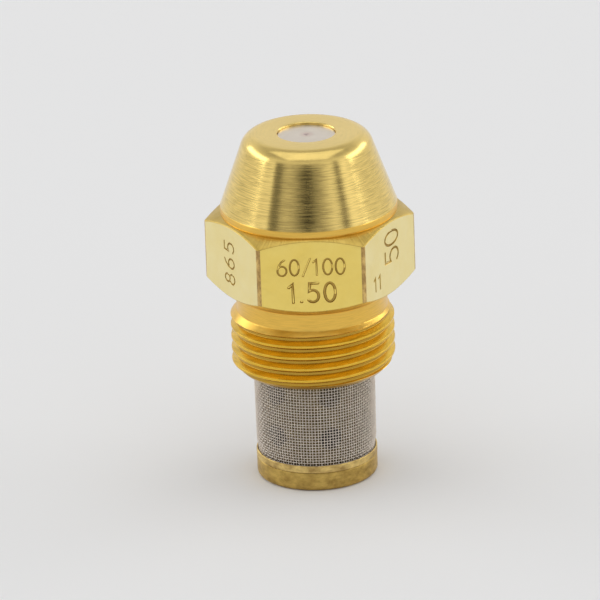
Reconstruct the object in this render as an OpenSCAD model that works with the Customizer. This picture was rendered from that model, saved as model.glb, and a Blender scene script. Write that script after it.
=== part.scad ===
// Pressure-atomising oil burner nozzle with a push-in strainer.
// The nozzle stands on its strainer cap and sprays upwards (+Z). The origin is the
// centre of the cap's underside. Two flats of the hexagon face -Y and +Y.

/* [Body] */
// Height of the spray face above the base
overall_h = 31.45; // [31.3:0.05:31.8]
// Height of the body's lower edge above the base
body_foot_z = 10; // [9.8:0.05:10.2]
// Radius of the plain neck between the thread and the hexagon
neck_r = 6.6; // [6.45:0.05:6.61]
// Radius of the short land between the hexagon and the nose
land_r = 7.7; // [7.5:0.05:7.8]
// Half angle of the tapered nose
nose_half_angle = 19.6; // [18:0.2:21]
// Radius of the rounding between the nose and the spray face
nose_rounding_r = 1.43; // [1:0.05:1.6]
// Radius of the hole that shows the orifice disc
disc_window_r = 2.54; // [2.52:0.01:2.6]

/* [Hexagon] */
// Distance across the flats
hex_across_flats = 15.875; // [15.5:0.125:16]
// Height at which the hexagon's full corners start
hex_corner_low_z = 18.5; // [18.3:0.05:18.8]
// Height at which the hexagon's full corners end
hex_corner_high_z = 23.6; // [23.3:0.05:23.8]
// Angle of the turned corner chamfers from the horizontal
hex_chamfer_angle = 29.5; // [28:0.5:31]
// Amount that the corners are broken
hex_corner_break = 0.05; // [0.02:0.01:0.1]

/* [Burner thread] */
// Crest radius of the 9/16-24 thread
thread_crest_r = 7.144; // [7.1:0.001:7.15]
// Root radius of the thread
thread_root_r = 6.62; // [6.62:0.01:6.7]
// Pitch of the thread
thread_pitch = 1.0583; // [1.0583:0.0001:1.06]
// Height at which the thread ends and its run-out chamfer starts
thread_end_z = 14.95; // [14.8:0.05:15.1]
// Radius of the sealing edge at the foot of the body
foot_edge_r = 6.35; // [6.2:0.05:6.4]

/* [Orifice disc] */
// Depth of the disc's face below the spray face
disc_recess = 0.2; // [0.1:0.05:0.5]
// Radius of the spray orifice
orifice_r = 0.12; // [0.1:0.02:0.22]
// Radius of the disc's clamped flange
disc_flange_r = 2.99; // [2.95:0.01:3]

/* [Swirl cone] */
// Number of tangential swirl slots
slot_count = 6; // [3:1:6]
// Width of a swirl slot
slot_w = 0.3; // [0.2:0.05:0.4]
// Radius of the swirl cone's head
cone_head_r = 2.8; // [2.7:0.05:2.85]

/* [Lock screw] */
// Crest radius of the screw's M7 x 0.75 thread
screw_crest_r = 3.46; // [3.44:0.01:3.47]
// Pitch of the screw's thread
screw_pitch = 0.75; // [0.75:0.01:0.76]
// Radial clearance between the two inner threads
screw_clearance = 0.04; // [0.03:0.01:0.05]
// Radius of the oil hole through the screw
oil_hole_r = 0.9; // [0.7:0.1:1.1]
// Width of the screwdriver slot
driver_slot_w = 1.2; // [0.8:0.1:1.4]

/* [Strainer] */
// Outer radius of the wire cloth under the body
cloth_r = 5.32; // [5.26:0.01:5.34]
// Thickness of the wire cloth
cloth_t = 0.2; // [0.16:0.01:0.22]
// Outer radius of the ported core tube
core_r = 4.9; // [4.8:0.05:4.9]
// Radius of a port in the core tube
port_r = 1; // [0.7:0.1:1.2]
// Number of ports in each of the two rows
port_count = 6; // [4:1:8]
// Direction of the first port, from the +X axis
port_turn = -75; // [-180:5:180]
// Radius of the end cap
cap_r = 5.28; // [5.27:0.01:5.32]
// Thickness of the end cap
cap_h = 1.68; // [1.4:0.02:1.7]
// Rounding of the cap's lower edge
cap_rounding_r = 0.38; // [0.2:0.02:0.5]
// Radius of the spigot that pushes into the body
spigot_r = 4.27; // [4.22:0.01:4.28]

/* [Hidden] */
round_fn = 96;         // every turned surface
groove_fn = 60;        // steps per turn of the burner thread
screw_fn = 30;         // steps per turn of the inner threads
past = 0.5;            // how far a cutter runs past the face that it opens
seat_gap = 0.02;       // gap between faces that rest on each other

hex_flat_r = hex_across_flats / 2;
hex_corner_r = hex_flat_r / cos(30);
foot_chamfer_h = thread_crest_r - foot_edge_r;
neck_start_z = thread_end_z + (thread_crest_r - neck_r);
hex_low_chamfer_h = (hex_corner_r - neck_r) * tan(hex_chamfer_angle);
hex_high_chamfer_h = (hex_corner_r - land_r) * tan(hex_chamfer_angle);
hex_foot_z = hex_corner_low_z - hex_low_chamfer_h;
hex_top_z = hex_corner_high_z + hex_high_chamfer_h;

// Thin turned line at the foot of the land
land_line_h = 0.1;
land_line_depth = 0.12;
nose_base_z = 25.05;
nose_base_step = 0.03;
nose_base_break = 0.06;
nose_base_r = land_r - nose_base_step;

// The rounding is tangent to the flat spray face and to the tapered side
rounding_z = overall_h - nose_rounding_r;
rounding_x = nose_base_r - (rounding_z - nose_base_z) * tan(nose_half_angle)
             - nose_rounding_r / cos(nose_half_angle);
side_end = [rounding_x + nose_rounding_r * cos(nose_half_angle),
            rounding_z + nose_rounding_r * sin(nose_half_angle)];

// Bores of the body, from the spray face down
window_chamfer = 0.05;
disc_shoulder_z = 29.95;
disc_bore_r = 3.04;
disc_bore_foot_z = 27;
screw_bore_r = 3.1;
screw_thread_top_z = 25;
spigot_bore_r = 4.3;
spigot_bore_top_z = 17;
recess_r = 5.7;
recess_top_z = 12;
recess_chamfer = 0.15;

// Orifice disc
disc_top_z = overall_h - disc_recess;
disc_boss_gap = 0.03;
disc_boss_r = disc_window_r - disc_boss_gap;
disc_shoulder_top_z = disc_shoulder_z - seat_gap;
disc_foot_z = 28.75;
chamber_mouth_r = 2.05;
spray_flare_r = 0.25;
spray_flare_h = 0.1;
orifice_overlap = 0.1;   // how far the orifice cutter runs into the chamber

// Swirl cone
cone_seat_gap = 0.08;
cone_shoulder_z = disc_foot_z - seat_gap;
cone_nose_r = chamber_mouth_r - cone_seat_gap;
cone_tip_r = 0.55;
cone_head_foot_z = 27;
cone_tail_r = 1.5;
cone_tail_foot_z = 25.9;
slot_offset = 0.45;
slot_depth = 0.3;
flute_w = 1;
flute_r = 2.35;

// Lock screw
screw_foot_z = 19.5;
screw_top_z = cone_head_foot_z - seat_gap;
screw_neck_z = 24.5;
screw_neck_r = 2.6;
screw_edge = 0.25;
screw_pocket_gap = 0.1;
screw_pocket_r = cone_tail_r + screw_pocket_gap;
screw_pocket_foot_z = 24.6;
cross_hole_r = 0.45;
cross_hole_z = 25.25;
driver_slot_h = 1.5;
screw_root_r = screw_crest_r - screw_thread_depth();
nut_crest_shift = 2 * screw_clearance;

// Strainer
core_inner_r = 4.15;
core_foot_z = cap_h + seat_gap;
core_top_z = 10.58;
port_low_z = 4.7;
port_high_z = 8.6;
collar_flange_z = core_top_z + seat_gap;
collar_flange_r = 5.08;
collar_flange_top_z = recess_top_z - seat_gap;
collar_skirt_r = core_inner_r - seat_gap;
collar_skirt_foot_z = 9.4;
spigot_top_z = 15.5;
spigot_bore_through_r = 3.4;
spigot_chamfer = 0.3;
cloth_grip_r = 5.14;
cloth_grip_top_z = 2.5;
cloth_swell_z = 3.3;
cloth_swell_step = 0.06;
cloth_swell_r = cloth_r - cloth_swell_step;
cloth_top_z = 11.6;
ring_top_z = 2.35;
ring_inner_r = cloth_grip_r + seat_gap;
upper_ring_foot_z = 10.4;
upper_ring_gap = 0.08;
upper_ring_r = recess_r - upper_ring_gap;
cap_plug_r = core_inner_r - seat_gap;
cap_plug_top_z = 3;

// Threads
front_groove_rise = 0.54;  // height above the foot of the first groove at the front
cutter_past_crest = 0.1;   // how far a groove cutter runs past the surface it opens
screw_past_crest = 0.05;
screw_start_turns = 1;     // turns that the screw's groove starts below its foot
screw_end_turns = 0.6;     // turns that it runs on above the threaded length
nut_start_turns = 4.5;     // turns below the screw's foot: covers its whole travel

// Height of a 60 degree external thread with a P/8 crest and a P/4 root
function thread_depth(pitch) = (7 / 8 - 1 / 4) * pitch / 2 / tan(30);
function screw_thread_depth() = thread_depth(screw_pitch);

// Axial width at radius r of a 60 degree groove that is w wide at radius r0
function groove_width(r, r0, w) = w + 2 * (r - r0) * tan(30);

// A trapezoid swept along a right-hand helix: its axial width is inner_w at
// inner_r and outer_w at outer_r, and it passes height z at the direction "turn"
module helix_cutter(pitch, z, turn, turns, inner_r, inner_w, outer_r, outer_w, steps) {
    count = ceil(turns * steps);
    corners = [[inner_r, -inner_w / 2], [outer_r, -outer_w / 2],
               [outer_r, outer_w / 2], [inner_r, inner_w / 2]];
    points = [for (i = [0:count]) for (c = corners)
        let (angle = turn + 360 * i / steps)
        [c[0] * cos(angle), c[0] * sin(angle), z + pitch * i / steps + c[1]]];
    sides = [for (i = [0:count - 1]) for (k = [0:3])
        let (a = 4 * i + k, b = 4 * i + (k + 1) % 4)
        each [[a, b, a + 4], [b, b + 4, a + 4]]];
    last = 4 * count;
    ends = [[0, 2, 1], [0, 3, 2],
            [last, last + 1, last + 2], [last, last + 2, last + 3]];
    polyhedron(points = points, faces = concat(sides, ends), convexity = 20);
}

// A turned ring or tube
module tube(inner_r, outer_r, low_z, high_z) {
    rotate_extrude($fn = round_fn)
        translate([inner_r, low_z]) square([outer_r - inner_r, high_z - low_z]);
}

// A cylinder between two heights
module rod(r, low_z, high_z) {
    translate([0, 0, low_z]) cylinder(r = r, h = high_z - low_z, $fn = round_fn);
}

// A cone between two heights
module taper(low_r, high_r, low_z, high_z) {
    translate([0, 0, low_z])
        cylinder(r1 = low_r, r2 = high_r, h = high_z - low_z, $fn = round_fn);
}

// Threaded shank and neck, before the thread is cut
module shank() {
    rotate_extrude($fn = round_fn)
        polygon([[0, body_foot_z], [foot_edge_r, body_foot_z],
                 [thread_crest_r, body_foot_z + foot_chamfer_h],
                 [thread_crest_r, thread_end_z], [neck_r, neck_start_z],
                 [neck_r, hex_foot_z + past], [0, hex_foot_z + past]]);
}

// Hexagon with turned chamfers on its upper and lower corners
module hexagon() {
    intersection() {
        translate([0, 0, hex_foot_z])
            cylinder(r = hex_corner_r, h = hex_top_z - hex_foot_z, $fn = 6);
        rotate_extrude($fn = round_fn)
            polygon([[0, hex_foot_z], [neck_r, hex_foot_z],
                     [hex_corner_r - hex_corner_break,
                      hex_corner_low_z - hex_corner_break * tan(hex_chamfer_angle)],
                     [hex_corner_r - hex_corner_break,
                      hex_corner_high_z + hex_corner_break * tan(hex_chamfer_angle)],
                     [land_r, hex_top_z], [0, hex_top_z]]);
    }
}

// Land and tapered nose with its rounded edge
module nose() {
    rotate_extrude($fn = round_fn) {
        polygon([[0, hex_top_z - past], [land_r - land_line_depth, hex_top_z - past],
                 [land_r - land_line_depth, hex_top_z + land_line_h],
                 [land_r, hex_top_z + land_line_h + land_line_depth / 2],
                 [land_r, nose_base_z - nose_base_break], [nose_base_r, nose_base_z],
                 side_end, [rounding_x, rounding_z], [rounding_x, overall_h],
                 [0, overall_h]]);
        translate([rounding_x, rounding_z]) circle(r = nose_rounding_r, $fn = round_fn);
    }
}

// Stepped bores of the body
module body_bores() {
    rod(disc_window_r, disc_shoulder_z - past, overall_h + past);
    taper(disc_window_r, disc_window_r + window_chamfer + past,
          overall_h - window_chamfer, overall_h + past);
    rod(disc_bore_r, disc_bore_foot_z - past, disc_shoulder_z);
    rod(screw_bore_r, spigot_bore_top_z - past, disc_bore_foot_z);
    rod(spigot_bore_r, recess_top_z - past, spigot_bore_top_z);
    rod(recess_r, body_foot_z - past, recess_top_z);
    taper(recess_r + recess_chamfer + past, recess_r,
          body_foot_z - past, body_foot_z + recess_chamfer);
}

module burner_thread_cutter() {
    root_w = thread_pitch / 4;
    outer_r = thread_crest_r + cutter_past_crest;
    front_groove_z = body_foot_z + front_groove_rise - thread_pitch;
    helix_cutter(thread_pitch, front_groove_z, -90,
                 (neck_start_z + cutter_past_crest - front_groove_z) / thread_pitch,
                 thread_root_r, root_w,
                 outer_r, groove_width(outer_r, thread_root_r, root_w), groove_fn);
}

module screw_thread_cutter() {
    root_w = screw_pitch / 4;
    outer_r = screw_crest_r + screw_past_crest;
    helix_cutter(screw_pitch, screw_foot_z - screw_pitch * screw_start_turns, 0,
                 (screw_neck_z - screw_foot_z) / screw_pitch + screw_start_turns
                 + screw_end_turns,
                 screw_root_r, root_w,
                 outer_r, groove_width(outer_r, screw_root_r, root_w), screw_fn);
}

// Groove of the body that the screw's thread runs in, half a pitch from the
// screw's own groove and wider than the screw's thread by the clearance
module nut_thread_cutter() {
    root_w = screw_pitch / 4;
    inner_r = screw_bore_r - cutter_past_crest;
    outer_r = screw_crest_r + cutter_past_crest;
    inner_w = screw_pitch - groove_width(inner_r, screw_root_r, root_w) + nut_crest_shift;
    outer_w = screw_pitch - groove_width(outer_r, screw_root_r, root_w) + nut_crest_shift;
    start_z = screw_foot_z - screw_pitch * nut_start_turns;
    helix_cutter(screw_pitch, start_z, 0, (screw_thread_top_z - start_z) / screw_pitch,
                 inner_r, inner_w, outer_r, outer_w, screw_fn);
}

module nozzle_body() {
    color("goldenrod")
        difference() {
            union() {
                shank();
                hexagon();
                nose();
            }
            body_bores();
            burner_thread_cutter();
            nut_thread_cutter();
        }
}

module orifice_disc() {
    orifice_foot_z = disc_foot_z + chamber_mouth_r - orifice_r;
    color("lightgray")
        difference() {
            union() {
                rod(disc_boss_r, disc_shoulder_top_z - past, disc_top_z);
                rod(disc_flange_r, disc_foot_z, disc_shoulder_top_z);
            }
            taper(chamber_mouth_r + past, orifice_r, disc_foot_z - past, orifice_foot_z);
            rod(orifice_r, orifice_foot_z - orifice_overlap, disc_top_z + past);
            taper(orifice_r, spray_flare_r + past * (spray_flare_r - orifice_r) / spray_flare_h,
                  disc_top_z - spray_flare_h, disc_top_z + past);
        }
}

module swirl_cone() {
    tip_z = cone_shoulder_z + cone_nose_r - cone_tip_r;
    color("silver")
        difference() {
            union() {
                taper(cone_nose_r, cone_tip_r, cone_shoulder_z, tip_z);
                rod(cone_head_r, cone_head_foot_z, cone_shoulder_z);
                rod(cone_tail_r, cone_tail_foot_z, cone_head_foot_z);
            }
            for (i = [0:slot_count - 1]) rotate([0, 0, 360 * i / slot_count]) {
                // tangential slot down the cone's side
                translate([0, slot_offset, tip_z - slot_depth]) rotate([0, 45, 0])
                    cube([cone_head_r, slot_w, slot_depth * 2]);
                // flute that feeds the slot past the head
                translate([flute_r, -flute_w / 2, cone_head_foot_z - past])
                    cube([cone_head_r, flute_w, cone_shoulder_z - cone_head_foot_z + 2 * past]);
            }
        }
}

module lock_screw() {
    color("darkgoldenrod")
        difference() {
            rotate_extrude($fn = round_fn)
                polygon([[0, screw_foot_z], [screw_crest_r - screw_edge, screw_foot_z],
                         [screw_crest_r, screw_foot_z + screw_edge],
                         [screw_crest_r, screw_neck_z - screw_edge],
                         [screw_neck_r, screw_neck_z], [screw_neck_r, screw_top_z],
                         [0, screw_top_z]]);
            screw_thread_cutter();
            rod(oil_hole_r, screw_foot_z - past, screw_pocket_foot_z + past);
            rod(screw_pocket_r, screw_pocket_foot_z, screw_top_z + past);
            for (turn = [0, 90]) rotate([0, 0, turn])
                translate([0, 0, cross_hole_z]) rotate([90, 0, 0])
                    cylinder(r = cross_hole_r, h = 2 * screw_crest_r, center = true,
                             $fn = round_fn);
            translate([-screw_crest_r - past, -driver_slot_w / 2, screw_foot_z - past])
                cube([2 * (screw_crest_r + past), driver_slot_w, driver_slot_h + past]);
        }
}

module filter_collar() {
    color("peru")
        rotate_extrude($fn = round_fn)
            polygon([[spigot_bore_through_r, collar_skirt_foot_z],
                     [collar_skirt_r, collar_skirt_foot_z],
                     [collar_skirt_r, collar_flange_z],
                     [collar_flange_r, collar_flange_z],
                     [collar_flange_r, collar_flange_top_z],
                     [spigot_r, collar_flange_top_z],
                     [spigot_r, spigot_top_z - spigot_chamfer],
                     [spigot_r - spigot_chamfer, spigot_top_z],
                     [spigot_bore_through_r, spigot_top_z]]);
}

module filter_core() {
    color("tan")
        difference() {
            tube(core_inner_r, core_r, core_foot_z, core_top_z);
            for (z = [port_low_z, port_high_z]) for (i = [0:port_count - 1])
                rotate([0, 0, port_turn + 360 * i / port_count])
                    translate([core_inner_r - past, 0, z]) rotate([0, 90, 0])
                        cylinder(r = port_r, h = core_r - core_inner_r + 2 * past,
                                 $fn = round_fn);
        }
}

module filter_mesh() {
    color("dimgray")
        rotate_extrude($fn = round_fn)
            polygon([[cloth_grip_r - cloth_t, core_foot_z], [cloth_grip_r, core_foot_z],
                     [cloth_grip_r, cloth_grip_top_z], [cloth_swell_r, cloth_swell_z],
                     [cloth_r, body_foot_z], [cloth_r, cloth_top_z],
                     [cloth_r - cloth_t, cloth_top_z], [cloth_r - cloth_t, body_foot_z],
                     [cloth_swell_r - cloth_t, cloth_swell_z],
                     [cloth_grip_r - cloth_t, cloth_grip_top_z]]);
}

module upper_clamp_ring() {
    color("khaki") tube(cloth_r + seat_gap, upper_ring_r, upper_ring_foot_z, cloth_top_z);
}

module lower_clamp_ring() {
    color("khaki") tube(ring_inner_r, cap_r + seat_gap, core_foot_z, ring_top_z);
}

module end_cap() {
    edge_x = cap_r - cap_rounding_r;
    color("darkkhaki") {
        rotate_extrude($fn = round_fn) {
            polygon([[0, 0], [edge_x, 0], [edge_x, cap_rounding_r], [cap_r, cap_rounding_r],
                     [cap_r, cap_h], [cap_plug_r, cap_h], [cap_plug_r, cap_plug_top_z],
                     [0, cap_plug_top_z]]);
            translate([edge_x, cap_rounding_r]) circle(r = cap_rounding_r, $fn = round_fn);
        }
    }
}

nozzle_body();
orifice_disc();
swirl_cone();
lock_screw();
filter_collar();
filter_core();
filter_mesh();
upper_clamp_ring();
lower_clamp_ring();
end_cap();
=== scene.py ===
"""Looks of the oil burner nozzle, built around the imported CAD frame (metres, +Z sprays)."""
import math
import random

import bmesh
import bpy
from mathutils import Matrix, Vector
from mathutils.geometry import delaunay_2d_cdt


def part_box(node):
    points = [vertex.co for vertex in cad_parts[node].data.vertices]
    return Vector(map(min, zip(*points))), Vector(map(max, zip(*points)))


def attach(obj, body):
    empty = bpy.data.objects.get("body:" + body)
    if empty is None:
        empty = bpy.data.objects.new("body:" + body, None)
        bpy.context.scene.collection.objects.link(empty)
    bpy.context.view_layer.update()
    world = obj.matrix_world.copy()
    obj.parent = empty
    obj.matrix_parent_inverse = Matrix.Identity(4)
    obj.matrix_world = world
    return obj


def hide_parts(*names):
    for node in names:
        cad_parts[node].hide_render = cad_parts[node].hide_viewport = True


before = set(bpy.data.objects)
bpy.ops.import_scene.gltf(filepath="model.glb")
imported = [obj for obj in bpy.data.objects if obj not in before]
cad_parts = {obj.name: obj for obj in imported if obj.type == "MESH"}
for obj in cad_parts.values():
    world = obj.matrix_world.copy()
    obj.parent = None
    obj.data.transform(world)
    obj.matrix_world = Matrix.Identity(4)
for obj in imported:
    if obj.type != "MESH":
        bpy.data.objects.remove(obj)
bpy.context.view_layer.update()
MM = 0.001

# ---------------------------------------------------------------- sizes (millimetres)


def node_box(node):
    """Lowest and highest corner of a CAD node, in millimetres."""
    low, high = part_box(node)
    return [c / MM for c in low], [c / MM for c in high]


body_low, body_high = node_box("nozzle_body")
disc_low, disc_high = node_box("orifice_disc")
cap_low, cap_high = node_box("end_cap")
cloth_low, cloth_high = node_box("filter_mesh")
ring_low, ring_high = node_box("lower_clamp_ring")

TOP_Z = body_high[2]
FOOT_Z = body_low[2]
FLAT_R = body_high[1]                       # hexagon, centre to flat
CORNER_R = FLAT_R / math.cos(math.radians(30))
CHAMFER = math.tan(math.radians(29.5))      # slope of the turned corner chamfers
CORNER_LOW_Z, CORNER_HIGH_Z = 18.5, 23.6
NECK_R, LAND_R = 6.6, 7.7
UNDERCUT = 0.05                             # turned groove between land and chamfer
UNDERCUT_RISE = 0.04                        # height of the slope out of that groove
HEX_FOOT_Z = CORNER_LOW_Z - (CORNER_R - NECK_R) * CHAMFER
HEX_TOP_Z = CORNER_HIGH_Z + (CORNER_R - LAND_R) * CHAMFER
CORNER_ROUND = 0.42                         # rounding of the hexagon's upright edges
EDGE_BREAK = 0.05                           # broken edge between a flat and a chamfer
BREAK_MIDDLE = (0.014, 0.012)               # its middle: in from the flat, off the chamfer
CHAMFER_EDGE = 0.06                         # width of the chamfer's own row along the break
NECK_FILLET = ((0.2, 0.2), (0.05, 0.0))     # rows (out from the neck, share of the slope)
NECK_FILLET_FOOT, NECK_OVERLAP = 0.12, 0.3  # its foot, and how far the thread rows reach up
NOSE_ROW_STEP = 0.8                         # longest row of faces along the nose
BORE_ROW_STEP = 1.5                         # and along the bore

NOSE_BASE_Z, NOSE_BASE_R = 25.05, LAND_R - 0.03
NOSE_ANGLE = math.radians(19.6)
NOSE_ROUND = 1.43
WINDOW_R = 2.54
WINDOW_CHAMFER = 0.05

THREAD_CREST_R, THREAD_ROOT_R, THREAD_PITCH = 7.144, 6.62, 1.0583
THREAD_ROOT_ROUND, THREAD_CREST_ROUND = 0.07, 0.03
THREAD_END_Z = 14.95
NECK_START_Z = THREAD_END_Z + THREAD_CREST_R - NECK_R
FOOT_EDGE_R = 6.35
GROOVE_FRONT_Z = FOOT_Z + 0.54              # a thread groove crosses the front here

SCREW_BORE_R, SCREW_PITCH, NUT_GROOVE_R = 3.1, 0.75, 3.56
NUT_GROOVE_W, NUT_STEP = 0.06, 0.12         # width of a groove's floor, longest row of faces
NUT_LOW_Z, NUT_HIGH_Z = 17.0, 25.0
DISC_BORE_R, DISC_SHOULDER_Z, DISC_BORE_FOOT_Z = 3.04, 29.95, 27.0
SPIGOT_BORE_R, SPIGOT_BORE_TOP_Z = 4.3, 17.0
RECESS_R, RECESS_TOP_Z = 5.7, 12.0

HAIRLINE = 0.02                             # gap left between two pieces that lie together
STEPS_PER_FLAT, STEPS_PER_CORNER = 30, 4
FRONT_FACE, LEFT_FACE, RIGHT_FACE = -90, -150, -30   # directions of the visible flats

# ---------------------------------------------------------------- mesh helpers


class Shell:
    """Collects vertices (millimetres) and faces, then makes one welded object."""

    def __init__(self):
        self.points, self.faces, self.materials = [], [], []

    def add(self, point):
        self.points.append(point)
        return len(self.points) - 1

    def face(self, corners, material=0):
        self.faces.append(corners)
        self.materials.append(material)

    def strip(self, a, b, material=0):
        """Quads between two closed rows of vertex numbers."""
        n = len(a)
        for i in range(n):
            j = (i + 1) % n
            self.face((a[i], a[j], b[j], b[i]), material)

    def rings(self, rows, material=0):
        """Quads along a list of closed rows of points."""
        ids = [[self.add(p) for p in row] for row in rows]
        for a, b in zip(ids, ids[1:]):
            self.strip(a, b, material)

    def build(self, name, materials, sharp_degrees=35, weld=0.002):
        mesh = bpy.data.meshes.new(name)
        mesh.from_pydata([Vector(p) * MM for p in self.points], [], self.faces)
        for polygon, material in zip(mesh.polygons, self.materials):
            polygon.material_index = material
        bm = bmesh.new()
        bm.from_mesh(mesh)
        bmesh.ops.remove_doubles(bm, verts=bm.verts, dist=weld * MM)
        bmesh.ops.dissolve_degenerate(bm, edges=bm.edges, dist=1e-7)
        bmesh.ops.recalc_face_normals(bm, faces=bm.faces)
        bm.to_mesh(mesh)
        bm.free()
        for polygon in mesh.polygons:
            polygon.use_smooth = True
        mesh.set_sharp_from_angle(angle=math.radians(sharp_degrees))
        for material in materials:
            mesh.materials.append(material)
        piece = bpy.data.objects.new(name, mesh)
        bpy.context.scene.collection.objects.link(piece)
        weighted = piece.modifiers.new("even_shading", "WEIGHTED_NORMAL")
        weighted.keep_sharp = True
        return piece


def outline(corners, closed=False, steps=5):
    """Rounds the corners of an (r, z, rounding) outline with tangent arcs."""
    points = []
    n = len(corners)
    for i, (x, z, rounding) in enumerate(corners):
        if rounding <= 0 or (not closed and i in (0, n - 1)):
            points.append((x, z))
            continue
        here = Vector((x, z))
        back = Vector(corners[i - 1][:2]) - here
        ahead = Vector(corners[(i + 1) % n][:2]) - here
        half = back.angle(ahead) / 2
        reach = rounding / math.tan(half)
        bisector = (back.normalized() + ahead.normalized()).normalized()
        centre = here + bisector * (rounding / math.sin(half))
        start = here + back.normalized() * reach - centre
        end = here + ahead.normalized() * reach - centre
        sweep = start.angle_signed(end)
        for k in range(steps + 1):
            angle = -sweep * k / steps
            turned = Vector((start.x * math.cos(angle) - start.y * math.sin(angle),
                             start.x * math.sin(angle) + start.y * math.cos(angle)))
            points.append(tuple(centre + turned))
    return points


def lathe(name, corners, materials, columns=192, steps=5, wobble=None):
    """A closed turned piece from a closed outline; wobble(r, z, angle) moves r and z."""
    shell = Shell()
    rows = []
    for r, z in outline(corners, closed=True, steps=steps):
        row = []
        for i in range(columns):
            angle = 2 * math.pi * i / columns
            dr, dz = wobble(r, z, angle) if wobble else (0, 0)
            row.append(((r + dr) * math.cos(angle), (r + dr) * math.sin(angle), z + dz))
        rows.append(row)
    shell.rings(rows + rows[:1])
    return shell.build(name, materials)


# ---------------------------------------------------------------- hexagon columns


def hexagon_section():
    """Points (x, y) round the hexagon with rounded corners, and which flat each is on."""
    section = []
    half_flat = FLAT_R * math.tan(math.radians(30)) - CORNER_ROUND * math.tan(math.radians(30))
    round_centre = (FLAT_R - CORNER_ROUND) / math.cos(math.radians(30))
    for side in range(6):
        facing = math.radians(30 + 60 * side)
        out = Vector((math.cos(facing), math.sin(facing)))
        along = Vector((-out.y, out.x))
        for i in range(STEPS_PER_FLAT + 1):
            t = half_flat * (2 * i / STEPS_PER_FLAT - 1)
            section.append((out * FLAT_R + along * t, side))
        corner = facing + math.radians(30)
        centre = Vector((math.cos(corner), math.sin(corner))) * round_centre
        for i in range(1, STEPS_PER_CORNER):
            angle = corner + math.radians(60 * i / STEPS_PER_CORNER - 30)
            section.append((centre + Vector((math.cos(angle), math.sin(angle))) * CORNER_ROUND,
                            None))
    return section


SECTION = hexagon_section()
ANGLES = [math.atan2(p.y, p.x) for p, _ in SECTION]
COLUMNS = len(SECTION)


def ring(r, z):
    return [(r * math.cos(a), r * math.sin(a), z) for a in ANGLES]


def hex_ring(inset, height):
    """The hexagon's section moved in towards the axis; height(r) gives each point's z."""
    row = []
    for (p, _), angle in zip(SECTION, ANGLES):
        r = p.length - inset
        row.append((r * math.cos(angle), r * math.sin(angle), height(p.length)))
    return row


def high_z(r):
    return HEX_TOP_Z - (r - LAND_R) * CHAMFER


def low_z(r):
    return HEX_FOOT_Z + (r - NECK_R) * CHAMFER


# ---------------------------------------------------------------- stamped figures


def arc(cx, cy, rx, ry, start, end, steps=14):
    return [(cx + rx * math.cos(math.radians(start + (end - start) * i / steps)),
             cy + ry * math.sin(math.radians(start + (end - start) * i / steps)))
            for i in range(steps + 1)]


# Each figure is a list of strokes in a box 0.6 wide and 1 high
FIGURES = {
    "0": [arc(0.3, 0.5, 0.27, 0.5, 0, 360, 24)],
    "1": [[(0.06, 0.8), (0.27, 1.0), (0.27, 0.0)]],
    "5": [[(0.55, 1.0), (0.12, 1.0), (0.08, 0.56)] + arc(0.28, 0.32, 0.29, 0.32, 125, -140)],
    "6": [arc(0.3, 0.3, 0.27, 0.3, 150, -210, 20) + [(0.1, 0.62), (0.28, 0.88), (0.46, 1.0)]],
    "8": [arc(0.3, 0.75, 0.22, 0.25, 0, 360, 18), arc(0.3, 0.26, 0.27, 0.26, 0, 360, 20)],
    "/": [[(0.05, -0.05), (0.5, 1.05)]],
    ".": [[(0.05, 0.03), (0.08, 0.03)]],
}
FIGURE_WIDTH = {".": 0.36, "/": 0.62, "1": 0.62}


def write_line(text, centre_x, centre_y, height, spread, half, turned=False):
    """(stroke, half width) of one stamped line; turned writes it up the flat instead."""
    widths = [FIGURE_WIDTH.get(c, spread) for c in text]
    x = -sum(widths) * height / 2 + (spread - 0.6) * height / 2
    strokes = []
    for c, width in zip(text, widths):
        for stroke in FIGURES[c]:
            placed = []
            for u, v in stroke:
                px, py = x + u * height, (v - 0.5) * height
                if turned:
                    px, py = -py, px
                placed.append((centre_x + px, centre_y + py))
            strokes.append((placed, half))
        x += width * height
    return strokes


def distance_to(point, stroke):
    best = 1e9
    for a, b in zip(stroke, stroke[1:]):
        ax, ay = a
        dx, dy = b[0] - ax, b[1] - ay
        span = dx * dx + dy * dy
        t = 0 if span == 0 else max(0, min(1, ((point[0] - ax) * dx
                                               + (point[1] - ay) * dy) / span))
        best = min(best, math.hypot(point[0] - ax - t * dx, point[1] - ay - t * dy))
    return best


def around(stroke, offset, cap_steps=6):
    """A closed outline at a distance round a stroke."""
    points = [Vector(p) for p in stroke]
    loop = []
    for path in (points, points[::-1]):
        for i in range(1, len(path)):
            p = path[i]
            before = (p - path[i - 1]).normalized()
            side = Vector((-before.y, before.x))
            if i == len(path) - 1:
                start = math.atan2(side.y, side.x)
                for k in range(cap_steps + 1):
                    angle = start - math.pi * k / cap_steps
                    loop.append(p + Vector((math.cos(angle), math.sin(angle))) * offset)
            else:
                after = (path[i + 1] - p).normalized()
                next_side = Vector((-after.y, after.x))
                mitre = side + next_side
                if mitre.length < 0.2:
                    loop.append(p + side * offset)
                    loop.append(p + next_side * offset)
                else:
                    mitre.normalize()
                    stretch = min(1 / max(mitre.dot(side), 0.4), 1.6)
                    loop.append(p + mitre * offset * stretch)
    return loop


STROKE_FLOOR = 0.55          # share of a stamped stroke's width that is its floor
STROKE_DEPTH = 0.8           # depth of a stroke, as a share of its half width
BURR_REACH = 0.08            # how far the disturbed metal runs beside a stroke


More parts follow.
